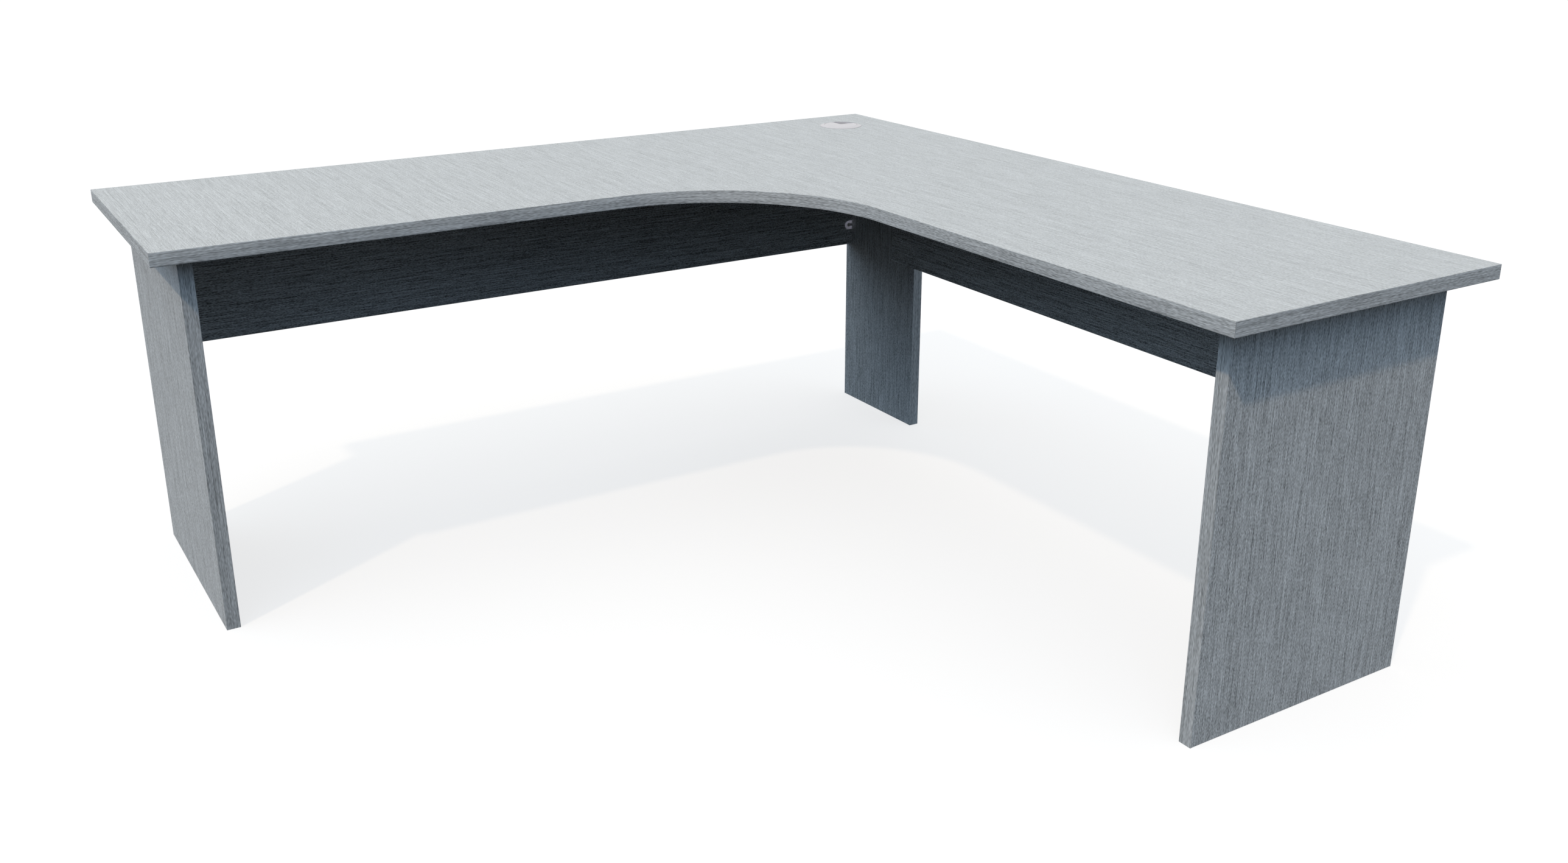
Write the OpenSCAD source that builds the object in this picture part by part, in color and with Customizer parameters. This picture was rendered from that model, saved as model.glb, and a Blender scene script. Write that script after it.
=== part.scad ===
// L-shaped corner workstation of faced board, in millimetres.
// The origin lies on the floor under the middle of the worktop's outline, with +Z up.
// The worktop's back corner points to +X +Y. The left wing runs along the +Y side,
// the right wing along the +X side, and the user sits on the -X -Y side.

/* [Worktop] */
// Length of the left wing's back edge, along X
top_len_left = 1800; // [1500:50:2400]
// Length of the right wing's back edge, along Y
top_len_right = 1800; // [1500:50:2400]
// Depth of the left wing
wing_depth_left = 600; // [560:10:750]
// Depth of the right wing
wing_depth_right = 600; // [560:10:750]
// Thickness of the worktop board
top_t = 25; // [22:1:38]
// Radius of the curve between the two front edges
inner_r = 350; // [100:10:500]

/* [Edge strips] */
// Thickness of every edge strip
edge_t = 2; // [1.4:0.2:3]
// Rounding of an edge strip's two outer corners
edge_round = 1; // [0.4:0.1:1.2]

/* [Legs] */
// Height of the three legs, which is the height under the worktop
leg_h = 700; // [600:5:850]
// Thickness of the leg boards
leg_t = 25; // [22:1:32]
// Width of an end leg, strips included
leg_w = 490; // [400:5:500]
// Width of the corner leg, strips included
corner_leg_w = 290; // [270:5:350]
// Reach of the worktop past an end leg's outer face
leg_overhang = 50; // [10:5:150]
// Distance from the worktop's back edges to the legs' rear edges
leg_set_back = 55; // [40:5:80]

/* [Modesty panels] */
// Thickness of the modesty panels
modesty_t = 18; // [16:1:22]
// Height of the modesty panels, bottom strip included
modesty_h = 290; // [220:5:400]
// Distance from the legs' rear edges to the panels' rear faces
modesty_inset = 4; // [0:1:12]
// Width of the right panel's lap on the corner leg's wide face
lap_w = 70; // [50:5:80]

/* [Connectors] */
// Diameter of a connector's housing
housing_d = 20; // [19:0.5:21]
// Width of the housing's rim on the panel's face
rim_w = 22; // [21.5:0.5:25]
// Thickness of the rim, which stands proud of the face
rim_t = 0.8; // [0.6:0.1:1.2]
// Depth of the housing in the panel
housing_depth = 13.6; // [13.4:0.1:14.4]
// Distance from the panel's end to the housing's centre
connector_edge = 9.5; // [9:0.1:9.8]
// Depth of the bolt's axis below the panel's face
bolt_depth = 9; // [8.6:0.1:9.2]
// Diameter of the cam that turns in the housing
cam_d = 10; // [9.8:0.1:11]
// Offset of the cam's inner race, which draws the bolt in
cam_throw = 0.4; // [0.2:0.05:0.5]
// Diameter of the bolt's ball head
ball_d = 6.2; // [5.6:0.1:6.4]
// Diameter of the bolt's neck
neck_d = 4; // [3:0.1:4.4]
// Diameter of the bolt's collar at the face that it is driven into
collar_d = 6; // [5.2:0.1:6.2]
// Thickness of the bolt's collar
collar_t = 1.6; // [1:0.1:2]
// Diameter of the bolt's threaded end
thread_d = 5; // [4.4:0.1:5.4]
// Length of the bolt's threaded end
thread_len = 11; // [8:0.5:12]
// Distance from a modesty panel's top and bottom edges to its connectors
modesty_connector_inset = 50; // [30:1:55]
// Distance from an end leg's front and rear edges to its connectors
leg_connector_inset = 60; // [52:1:90]
// Distance between the two connectors of the corner leg
corner_connector_gap = 120; // [96:2:130]

/* [Dowels and screws] */
// Diameter of the wooden dowels
dowel_d = 8; // [6:0.5:9]
// Length of a dowel in the end of the panel that it is glued into
dowel_in_end = 18; // [12:1:22]
// Length of a dowel in the face of the board that it meets
dowel_in_face = 12; // [8:1:14]
// Distance from a connector to the dowel beside it
dowel_pitch = 32; // [24:1:36]
// Diameter of the lap screws' heads
screw_head_d = 8; // [7:0.5:9]
// Diameter of the lap screws' shanks
screw_d = 4; // [3:0.1:5]
// Length of a lap screw
screw_len = 38; // [32:1:39]
// Width of the cross recess in a lap screw's head
screw_slot_w = 0.8; // [0.6:0.1:1]
// Depth of the cross recess in a lap screw's head
screw_slot_depth = 1.6; // [1:0.1:1.8]
// Diameter of the pilot holes that the lap screws follow
pilot_d = 2; // [1.5:0.1:2.5]
// Distance from the right panel's free end to the lap screws
screw_from_end = 28.5; // [20:0.5:34]
// Distance from the right panel's top and bottom edges to the lap screws
screw_inset = 25; // [16:1:40]

/* [Cable grommet] */
// Distance from the worktop's two back edges to the grommet's centre
grommet_inset = 137; // [110:1:180]
// Diameter of the hole through the worktop
grommet_hole_d = 85; // [84.6:0.1:88]
// Outer diameter of the liner's flange
flange_d = 99; // [94:1:110]
// Height of the liner's flange at the cap
flange_rise = 3; // [2.6:0.1:4]
// Height of the flange's outer lip
flange_lip = 0.8; // [0.4:0.1:1.4]
// Depth of the worktop's shallow rebate, in which the flange is seated
flange_seat = 0.3; // [0.2:0.1:0.5]
// Diameter of the liner's recess for the cap
cap_recess_d = 80.2; // [79.6:0.1:81]
// Diameter of the liner's bore, in which the cap's skirt turns
liner_bore_d = 76.8; // [75:0.1:77.6]
// Length of the liner's barrel in the worktop
barrel_len = 20; // [14:1:21]
// Outer diameter of the liner's barrel
barrel_d = 84.2; // [83:0.1:84.4]
// Thickness of the cap's disc at its middle
cap_t = 3.2; // [2.4:0.1:3.6]
// Depth of the cap's skirt below its seat
skirt_depth = 8; // [5:0.5:12]
// Wall of the cap's skirt
skirt_t = 1.8; // [1.2:0.1:2.6]
// Radius of the inner corner of the cap's cable opening
opening_fillet = 8; // [3:0.5:14]

/* [Hidden] */
$fn = 48;

// Overshoot of a cut past the face that it opens
cut = 1;

// Clearances
housing_gap = 0.05;
cam_gap = 0.05;
race_gap = 0.05;
slot_gap = 0.2;
bolt_way_gap = 0.15;
pocket_floor_gap = 0.2;
thread_gap = 0.05;
dowel_gap = 0.05;
screw_gap = 0.05;
hole_end_gap = 1;
skirt_gap = 0.05;
cap_rim_gap = 0.3;
flange_gap = 0.3;
rib_gap = 0.05;

// Plan of the worktop
back_x = top_len_left / 2;
back_y = top_len_right / 2;
front_x = back_x - wing_depth_right;
front_y = back_y - wing_depth_left;
curve_x = front_x - inner_r;
curve_y = front_y - inner_r;
top_z = leg_h + top_t;

// Faces of the legs
leg_rear_x = back_x - leg_set_back;
leg_rear_y = back_y - leg_set_back;
leg_front_x = leg_rear_x - leg_w;
leg_front_y = leg_rear_y - leg_w;
left_leg_outer_x = -back_x + leg_overhang;
left_leg_inner_x = left_leg_outer_x + leg_t;
right_leg_outer_y = -back_y + leg_overhang;
right_leg_inner_y = right_leg_outer_y + leg_t;

// Faces of the modesty panels, and the corner leg that they meet
left_panel_rear_y = leg_rear_y - modesty_inset;
left_panel_front_y = left_panel_rear_y - modesty_t;
right_panel_rear_x = leg_rear_x - modesty_inset;
right_panel_front_x = right_panel_rear_x - modesty_t;
panel_bottom_z = leg_h - modesty_h;
corner_leg_face_x = right_panel_rear_x;
corner_leg_back_x = corner_leg_face_x + leg_t;
corner_leg_front_y = leg_rear_y - corner_leg_w;
right_panel_end_y = corner_leg_front_y + lap_w;

// Turns that stand a connector on a face: its own +Z becomes the face's outward normal,
// and its own +Y becomes up
FACE_TO_MINUS_Y = [90, 0, 0];
FACE_TO_MINUS_X = [90, 0, -90];
FACE_TO_PLUS_X = [90, 0, 90];
FACE_TO_PLUS_Y = [90, 0, 180];

// Turns that point a connector's bolt along its own +X, its own -X or up
BOLT_AHEAD = 0;
BOLT_BACK = 180;
BOLT_UP = 90;

// Where the connectors stand: point on the panel's face, turn of the face, turn of the bolt
leg_connector_z = leg_h - connector_edge;
panel_low_z = panel_bottom_z + modesty_connector_inset;
panel_high_z = leg_h - modesty_connector_inset;
end_leg_along = [leg_connector_inset, leg_w - leg_connector_inset];
corner_leg_middle_y = (right_panel_end_y + left_panel_front_y) / 2;

left_leg_connectors = [
    for (d = end_leg_along)
        [[left_leg_inner_x, leg_front_y + d, leg_connector_z], FACE_TO_PLUS_X, BOLT_UP]
];
right_leg_connectors = [
    for (d = end_leg_along)
        [[leg_front_x + d, right_leg_inner_y, leg_connector_z], FACE_TO_PLUS_Y, BOLT_UP]
];
corner_leg_connectors = [
    for (side = [-1, 1])
        [[corner_leg_face_x, corner_leg_middle_y + side * corner_connector_gap / 2, leg_connector_z],
            FACE_TO_MINUS_X, BOLT_UP]
];
left_modesty_connectors = [
    for (z = [panel_low_z, panel_high_z])
        [[left_leg_inner_x + connector_edge, left_panel_front_y, z], FACE_TO_MINUS_Y, BOLT_BACK],
    for (z = [panel_low_z, panel_high_z])
        [[corner_leg_face_x - connector_edge, left_panel_front_y, z], FACE_TO_MINUS_Y, BOLT_AHEAD]
];
right_modesty_connectors = [
    for (z = [panel_low_z, panel_high_z])
        [[right_panel_front_x, right_leg_inner_y + connector_edge, z], FACE_TO_MINUS_X, BOLT_AHEAD]
];
leg_connectors = concat(left_leg_connectors, right_leg_connectors, corner_leg_connectors);

// Where the dowels stand: point on the joint's plane, and the turn that points +Z into the face
INTO_PLUS_Z = [0, 0, 0];
INTO_PLUS_X = [0, 90, 0];
INTO_MINUS_X = [0, -90, 0];
INTO_MINUS_Y = [90, 0, 0];
leg_dowel_along = [leg_connector_inset + dowel_pitch, leg_w - leg_connector_inset - dowel_pitch];
corner_dowel_reach = corner_connector_gap / 2 - dowel_pitch;
panel_dowel_z = [panel_low_z + dowel_pitch, panel_high_z - dowel_pitch];

left_leg_dowel_places = [
    for (d = leg_dowel_along) [[left_leg_outer_x + leg_t / 2, leg_front_y + d, leg_h], INTO_PLUS_Z]
];
right_leg_dowel_places = [
    for (d = leg_dowel_along) [[leg_front_x + d, right_leg_outer_y + leg_t / 2, leg_h], INTO_PLUS_Z]
];
corner_leg_dowel_places = [
    for (side = [-1, 1])
        [[corner_leg_face_x + leg_t / 2, corner_leg_middle_y + side * corner_dowel_reach, leg_h],
            INTO_PLUS_Z]
];
left_modesty_outer_dowel_places = [
    for (z = panel_dowel_z) [[left_leg_inner_x, left_panel_front_y + modesty_t / 2, z], INTO_MINUS_X]
];
left_modesty_corner_dowel_places = [
    for (z = panel_dowel_z) [[corner_leg_face_x, left_panel_front_y + modesty_t / 2, z], INTO_PLUS_X]
];
right_modesty_dowel_places = [
    for (z = panel_dowel_z) [[right_panel_front_x + modesty_t / 2, right_leg_inner_y, z], INTO_MINUS_Y]
];

// Where the lap screws stand, on the corner leg's back face
lap_screw_places = [
    for (z = [panel_bottom_z + screw_inset, leg_h - screw_inset])
        [[corner_leg_back_x, right_panel_end_y - screw_from_end, z], INTO_MINUS_X]
];

// Parts of a connector, along its own axes
pocket_d = housing_d + 2 * housing_gap;
housing_floor_t = 0.8;
cam_foot_gap = 0.1;
cam_bottom = -housing_depth + housing_floor_t + cam_foot_gap;
cam_sink = 0.3;
cam_top = rim_t - cam_sink;
race_r = ball_d / 2 + cam_throw + race_gap;
race_h = ball_d + 2 * slot_gap;
bolt_way_w = ball_d + 2 * bolt_way_gap;
neck_slot_w = neck_d + 2 * slot_gap;
thread_end = connector_edge + thread_len;
recess_len = 6;
recess_w = 1.1;
recess_depth = 2.6;
arrow_w = 1.1;
arrow_len = 1;
arrow_border = 0.5;
arrow_depth = 0.4;
dish_depth = 0.3;
dish_border = 1.4;

// Parts of the grommet, measured from the worktop's top face
grommet_x = back_x - grommet_inset;
grommet_y = back_y - grommet_inset;
cap_seat = 0.2;
cap_r = cap_recess_d / 2 - cap_rim_gap;
skirt_r = liner_bore_d / 2 - skirt_gap;
cap_underside = 0.4;
cap_bevel = 1.2;
cap_crown_r = 30;
cap_crown_fall = 0.2;
rib_count = 8;
rib_w = 2;
rib_root = 1;
rib_from_top = 4;

// Dowel and screw details
dowel_chamfer = 1;
screw_cone_h = (screw_head_d - screw_d) / 2;

// Finishes as photographed
face_grey = "#c6cbcd";
edge_grey = "#8f969b";
leg_grey = "#7d868e";
panel_grey = "#3c444b";
connector_nickel = "#b4b1bd";
cap_white = "#e2e1e4";

// Helpers

module box(low, high) {
    translate(low) cube(high - low);
}

// Stands a connector's piece at its place
module at(place) {
    translate(place[0]) rotate(place[1]) rotate([0, 0, place[2]]) children();
}

// Stands a dowel or a screw at its place
module driven(place) {
    translate(place[0]) rotate(place[1]) children();
}

// Section of an edge strip: outwards along X, across a board of thickness t along Y
module edge_section(t) {
    square([edge_t - edge_round, t]);
    translate([0, edge_round]) square([edge_t, t - 2 * edge_round]);
    for (v = [edge_round, t - edge_round]) {
        translate([edge_t - edge_round, v]) circle(r = edge_round);
    }
}

// Edge strip along the worktop, from a point on its inner face at the board's underside.
// The angle is the way that the strip faces, seen from above, from +X towards +Y.
module worktop_strip(x, y, angle, length) {
    translate([x, y, leg_h]) rotate([90, 0, angle]) linear_extrude(length) edge_section(top_t);
}

// Edge strip that stands upright, from a point on its inner face at one of its corners
module upright_strip(x, y, z, angle, t) {
    translate([x, y, z]) rotate([0, 0, angle]) linear_extrude(leg_h - z) edge_section(t);
}

// Edge strip that faces down and runs along +X
module down_strip_x(x, y, z, length, t) {
    translate([x, y, z]) rotate([0, 90, 0]) linear_extrude(length) edge_section(t);
}

// Edge strip that faces down and runs along -Y
module down_strip_y(x, y, z, length, t) {
    translate([x, y, z]) rotate([90, 90, 0]) linear_extrude(length) edge_section(t);
}

// Connector pieces. +X points to the board that is met, and Z is 0 on the panel's face.

module connector_pocket() {
    translate([0, 0, -housing_depth - pocket_floor_gap])
        cylinder(d = pocket_d, h = housing_depth + pocket_floor_gap + cut);
}

module connector_bolt_hole() {
    translate([connector_edge - cut, 0, -bolt_depth]) rotate([0, 90, 0])
        cylinder(d = thread_d + 2 * thread_gap, h = thread_len + hole_end_gap + cut);
}

// U-shaped outline of the rim: round behind, straight to the panel's end
module rim_outline(w, reach) {
    circle(d = w);
    translate([0, -w / 2]) square([reach, w]);
}

module housing() {
    difference() {
        union() {
            translate([0, 0, -housing_depth]) cylinder(d = housing_d, h = housing_depth);
            linear_extrude(rim_t) rim_outline(rim_w, connector_edge);
        }
        // end of the panel
        translate([connector_edge, -rim_w, -housing_depth - cut])
            cube([housing_d, 2 * rim_w, housing_depth + rim_t + 2 * cut]);
        // shallow dish inside the rim's border
        translate([0, 0, rim_t - dish_depth]) linear_extrude(cut)
            rim_outline(rim_w - 2 * dish_border, connector_edge + cut);
        // seat of the cam
        translate([0, 0, -housing_depth + housing_floor_t])
            cylinder(d = cam_d + 2 * cam_gap, h = housing_depth + rim_t + cut);
        // way in for the bolt
        translate([0, -bolt_way_w / 2, -bolt_depth - bolt_way_w / 2])
            cube([connector_edge + cut, bolt_way_w, bolt_depth + bolt_way_w / 2 + rim_t + cut]);
    }
}

module cam() {
    difference() {
        translate([0, 0, cam_bottom]) cylinder(d = cam_d, h = cam_top - cam_bottom);
        // race, set off so that half a turn draws the ball head in
        translate([-cam_throw, 0, cam_bottom - cut])
            cylinder(r = race_r, h = -bolt_depth + race_h / 2 - cam_bottom + cut);
        // half-turn slot for the neck
        rotate([0, 0, 180]) rotate_extrude(angle = 180)
            translate([race_r / 2, -bolt_depth - neck_slot_w / 2]) square([cam_d, neck_slot_w]);
        translate([0, 0, -bolt_depth]) rotate([0, 90, 0]) cylinder(d = neck_slot_w, h = cam_d);
        // way out for the ball head, when the cam is open
        translate([-cam_d, -race_h / 2, cam_bottom - cut])
            cube([cam_d, race_h, -bolt_depth + race_h / 2 - cam_bottom + cut]);
        // driver recess
        for (a = [0, 90]) {
            rotate([0, 0, a]) translate([-recess_len / 2, -recess_w / 2, cam_top - recess_depth])
                cube([recess_len, recess_w, recess_depth + cut]);
        }
        // arrow that points to the bolt when the cam is locked
        translate([0, 0, cam_top - arrow_depth]) linear_extrude(arrow_depth + cut)
            polygon([
                [cam_d / 2 - arrow_border - arrow_len, -arrow_w / 2],
                [cam_d / 2 - arrow_border, 0],
                [cam_d / 2 - arrow_border - arrow_len, arrow_w / 2]
            ]);
    }
}

module bolt() {
    translate([0, 0, -bolt_depth]) rotate([0, 90, 0]) {
        sphere(d = ball_d);
        cylinder(d = neck_d, h = connector_edge);
        translate([0, 0, connector_edge - collar_t]) cylinder(d = collar_d, h = collar_t);
        translate([0, 0, connector_edge]) cylinder(d = thread_d, h = thread_len);
    }
}

// Dowel and its hole. Z is 0 on the joint's plane and +Z points into the face that is met.

module dowel() {
    r = dowel_d / 2;
    c = dowel_chamfer;
    rotate_extrude()
        polygon([
            [0, -dowel_in_end], [r - c, -dowel_in_end], [r, c - dowel_in_end],
            [r, dowel_in_face - c], [r - c, dowel_in_face], [0, dowel_in_face]
        ]);
}

module dowel_hole() {
    translate([0, 0, -dowel_in_end - hole_end_gap])
        cylinder(d = dowel_d + 2 * dowel_gap, h = dowel_in_end + dowel_in_face + 2 * hole_end_gap);
}

// Screw with a countersunk head. Z is 0 on the face, and +Z points into the wood.

module screw() {
    difference() {
        union() {
            cylinder(d1 = screw_head_d, d2 = screw_d, h = screw_cone_h);
            cylinder(d = screw_d, h = screw_len - screw_d);
            translate([0, 0, screw_len - screw_d]) cylinder(d1 = screw_d, d2 = pilot_d, h = screw_d);
        }
        for (a = [0, 90]) {
            rotate([0, 0, a]) translate([-screw_d / 2, -screw_slot_w / 2, -cut])
                cube([screw_d, screw_slot_w, cut + screw_slot_depth]);
        }
    }
}

module screw_hole() {
    d = screw_d + 2 * screw_gap;
    translate([0, 0, -cut]) cylinder(d = d, h = screw_len + screw_gap + cut);
    translate([0, 0, -screw_gap])
        cylinder(d1 = screw_head_d + 4 * screw_gap, d2 = screw_d + 2 * screw_gap,
            h = screw_cone_h + 2 * screw_gap);
    cylinder(d = pilot_d, h = leg_t + modesty_t + cut);
}

// Worktop

module worktop_board() {
    color(face_grey) difference() {
        box([-back_x + edge_t, -back_y + edge_t, leg_h], [back_x - edge_t, back_y - edge_t, top_z]);
        // bay in front of the user, with its quarter-round corner
        box([-back_x, -back_y, leg_h - cut], [curve_x, front_y + edge_t, top_z + cut]);
        box([-back_x, -back_y, leg_h - cut], [front_x + edge_t, curve_y, top_z + cut]);
        translate([curve_x, curve_y, leg_h - cut]) cylinder(r = inner_r + edge_t, h = top_t + 2 * cut);
        // cable hole
        translate([grommet_x, grommet_y, leg_h - cut]) cylinder(d = grommet_hole_d, h = top_t + 2 * cut);
        // seat of the grommet's flange
        translate([grommet_x, grommet_y, top_z - flange_seat])
            cylinder(d = flange_d + 2 * flange_gap, h = flange_seat + cut);
        for (p = leg_connectors) at(p) connector_bolt_hole();
        for (p = left_leg_dowel_places) driven(p) dowel_hole();
        for (p = right_leg_dowel_places) driven(p) dowel_hole();
        for (p = corner_leg_dowel_places) driven(p) dowel_hole();
    }
}

module worktop_edge_front() {
    color(edge_grey) {
        worktop_strip(curve_x, front_y + edge_t, -90, curve_x + back_x);
        translate([curve_x, curve_y, leg_h]) rotate_extrude(angle = 90)
            translate([inner_r + edge_t, 0]) mirror([1, 0]) edge_section(top_t);
        worktop_strip(front_x + edge_t, -back_y, 180, curve_y + back_y);
    }
}

module worktop_edge_left_end() {
    color(edge_grey)
        worktop_strip(-back_x + edge_t, front_y + edge_t, 180, wing_depth_left - edge_t);
}

module worktop_edge_right_end() {
    color(edge_grey) worktop_strip(back_x, -back_y + edge_t, -90, wing_depth_right - edge_t);
}

module worktop_edge_back_left() {
    color(edge_grey) worktop_strip(-back_x + edge_t, back_y - edge_t, 90, top_len_left - 2 * edge_t);
}

module worktop_edge_back_right() {
    color(edge_grey) worktop_strip(back_x - edge_t, back_y, 0, top_len_right - edge_t);
}

// Left end leg

module left_leg_board() {
    color(leg_grey) difference() {
        box([left_leg_outer_x, leg_front_y + edge_t, edge_t], [left_leg_inner_x, leg_rear_y - edge_t, leg_h]);
        for (p = left_leg_connectors) at(p) connector_pocket();
        for (p = left_leg_dowel_places) driven(p) dowel_hole();
        for (p = left_modesty_connectors) at(p) connector_bolt_hole();
        for (p = left_modesty_outer_dowel_places) driven(p) dowel_hole();
    }
}

module left_leg_edge_front() {
    color(edge_grey) upright_strip(left_leg_outer_x, leg_front_y + edge_t, 0, -90, leg_t);
}

module left_leg_edge_rear() {
    color(edge_grey) upright_strip(left_leg_inner_x, leg_rear_y - edge_t, 0, 90, leg_t);
}

module left_leg_edge_foot() {
    color(edge_grey)
        down_strip_y(left_leg_outer_x, leg_rear_y - edge_t, edge_t, leg_w - 2 * edge_t, leg_t);
}

// Right end leg

module right_leg_board() {
    color(leg_grey) difference() {
        box([leg_front_x + edge_t, right_leg_outer_y, edge_t],
            [leg_rear_x - edge_t, right_leg_inner_y, leg_h]);
        for (p = right_leg_connectors) at(p) connector_pocket();
        for (p = right_leg_dowel_places) driven(p) dowel_hole();
        for (p = right_modesty_connectors) at(p) connector_bolt_hole();
        for (p = right_modesty_dowel_places) driven(p) dowel_hole();
    }
}

module right_leg_edge_front() {
    color(edge_grey) upright_strip(leg_front_x + edge_t, right_leg_inner_y, 0, 180, leg_t);
}

module right_leg_edge_rear() {
    color(edge_grey) upright_strip(leg_rear_x - edge_t, right_leg_outer_y, 0, 0, leg_t);
}

module right_leg_edge_foot() {
    color(edge_grey)
        down_strip_x(leg_front_x + edge_t, right_leg_outer_y, edge_t, leg_w - 2 * edge_t, leg_t);
}

// Corner leg

module corner_leg_board() {
    color(leg_grey) difference() {
        box([corner_leg_face_x, corner_leg_front_y + edge_t, edge_t],
            [corner_leg_back_x, leg_rear_y - edge_t, leg_h]);
        for (p = corner_leg_connectors) at(p) connector_pocket();
        for (p = corner_leg_dowel_places) driven(p) dowel_hole();
        for (p = left_modesty_connectors) at(p) connector_bolt_hole();
        for (p = left_modesty_corner_dowel_places) driven(p) dowel_hole();
        for (p = lap_screw_places) driven(p) screw_hole();
    }
}

module corner_leg_edge_front() {
    color(edge_grey) upright_strip(corner_leg_face_x, corner_leg_front_y + edge_t, 0, -90, leg_t);
}

module corner_leg_edge_rear() {
    color(edge_grey) upright_strip(corner_leg_back_x, leg_rear_y - edge_t, 0, 90, leg_t);
}

module corner_leg_edge_foot() {
    color(edge_grey)
        down_strip_y(corner_leg_face_x, leg_rear_y - edge_t, edge_t, corner_leg_w - 2 * edge_t, leg_t);
}

// Left modesty panel

module left_modesty_board() {
    color(panel_grey) difference() {
        box([left_leg_inner_x, left_panel_front_y, panel_bottom_z + edge_t],
            [corner_leg_face_x, left_panel_rear_y, leg_h]);
        for (p = left_modesty_connectors) at(p) connector_pocket();
        for (p = left_modesty_outer_dowel_places) driven(p) dowel_hole();
        for (p = left_modesty_corner_dowel_places) driven(p) dowel_hole();
    }
}

module left_modesty_edge_bottom() {
    color(panel_grey)
        down_strip_x(left_leg_inner_x, left_panel_front_y, panel_bottom_z + edge_t,
            corner_leg_face_x - left_leg_inner_x, modesty_t);
}

// Right modesty panel

module right_modesty_board() {
    color(panel_grey) difference() {
        box([right_panel_front_x, right_leg_inner_y, panel_bottom_z + edge_t],
            [right_panel_rear_x, right_panel_end_y - edge_t, leg_h]);
        for (p = right_modesty_connectors) at(p) connector_pocket();
        for (p = right_modesty_dowel_places) driven(p) dowel_hole();
        for (p = lap_screw_places) driven(p) screw_hole();
    }
}

module right_modesty_edge_bottom() {
    color(panel_grey)
        down_strip_y(right_panel_front_x, right_panel_end_y, panel_bottom_z + edge_t,
            right_panel_end_y - right_leg_inner_y, modesty_t);
}

module right_modesty_edge_end() {
    color(panel_grey)
        upright_strip(right_panel_rear_x, right_panel_end_y - edge_t, panel_bottom_z + edge_t, 90, modesty_t);
}

// Groups of connector pieces, dowels and screws

module housings_at(places) {
    color(connector_nickel) for (p = places) at(p) housing();
}

module bolts_at(places) {
    color("silver") for (p = places) at(p) bolt();
}

module cam_at(place) {
    color("darkgray") at(place) cam();
}

module dowels_at(places) {
    color("burlywood") for (p = places) driven(p) dowel();
}

module left_leg_housings() {
    housings_at(left_leg_connectors);
}

module left_leg_bolts() {
    bolts_at(left_leg_connectors);
}

module left_leg_dowels() {
    dowels_at(left_leg_dowel_places);
}

module right_leg_housings() {
    housings_at(right_leg_connectors);
}

module right_leg_bolts() {
    bolts_at(right_leg_connectors);
}

module right_leg_dowels() {
    dowels_at(right_leg_dowel_places);
}

module corner_leg_housings() {
    housings_at(corner_leg_connectors);
}

module corner_leg_bolts() {
    bolts_at(corner_leg_connectors);
}

module corner_leg_dowels() {
    dowels_at(corner_leg_dowel_places);
}

module left_modesty_housings() {
    housings_at(left_modesty_connectors);
}

module left_modesty_bolts() {
    bolts_at(left_modesty_connectors);
}

module left_modesty_dowels() {
    dowels_at(concat(left_modesty_outer_dowel_places, left_modesty_corner_dowel_places));
}

module right_modesty_housings() {
    housings_at(right_modesty_connectors);
}

module right_modesty_bolts() {
    bolts_at(right_modesty_connectors);
}

module right_modesty_dowels() {
    dowels_at(right_modesty_dowel_places);
}

module left_leg_cam_front() {
    cam_at(left_leg_connectors[0]);
}

module left_leg_cam_rear() {
    cam_at(left_leg_connectors[1]);
}

module right_leg_cam_front() {
    cam_at(right_leg_connectors[0]);
}

module right_leg_cam_rear() {
    cam_at(right_leg_connectors[1]);
}

module corner_leg_cam_front() {
    cam_at(corner_leg_connectors[0]);
}

module corner_leg_cam_rear() {
    cam_at(corner_leg_connectors[1]);
}

module left_modesty_cam_outer_low() {
    cam_at(left_modesty_connectors[0]);
}

module left_modesty_cam_outer_high() {
    cam_at(left_modesty_connectors[1]);
}

module left_modesty_cam_corner_low() {
    cam_at(left_modesty_connectors[2]);
}

module left_modesty_cam_corner_high() {
    cam_at(left_modesty_connectors[3]);
}

module right_modesty_cam_low() {
    cam_at(right_modesty_connectors[0]);
}

module right_modesty_cam_high() {
    cam_at(right_modesty_connectors[1]);
}

module lap_screws() {
    color("silver") for (p = lap_screw_places) driven(p) screw();
}

// Cable grommet

module grommet_liner() {
    bore_r = liner_bore_d / 2;
    recess_r = cap_recess_d / 2;
    color(cap_white) translate([grommet_x, grommet_y, top_z]) {
        rotate_extrude()
            polygon([
                [bore_r, -barrel_len], [barrel_d / 2, -barrel_len], [barrel_d / 2, -flange_seat],
                [flange_d / 2, -flange_seat], [flange_d / 2, flange_lip], [recess_r, flange_rise],
                [recess_r, cap_seat], [bore_r, cap_seat]
            ]);
        // ribs that grip the hole's wall
        for (i = [0 : rib_count - 1]) {
            rotate([0, 0, (i + 0.5) * 360 / rib_count])
                translate([bore_r + rib_root, -rib_w / 2, -barrel_len])
                    cube([
                        grommet_hole_d / 2 - rib_gap - bore_r - rib_root,
                        rib_w,
                        barrel_len - rib_from_top
                    ]);
        }
    }
}

// Plan of the cap's cable opening: the quarter that faces the worktop's back corner
module cable_opening(r) {
    f = opening_fillet;
    translate([f, 0]) square([r - f, r]);
    translate([0, f]) square([r, r - f]);
    translate([f, f]) circle(r = f);
}

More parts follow.
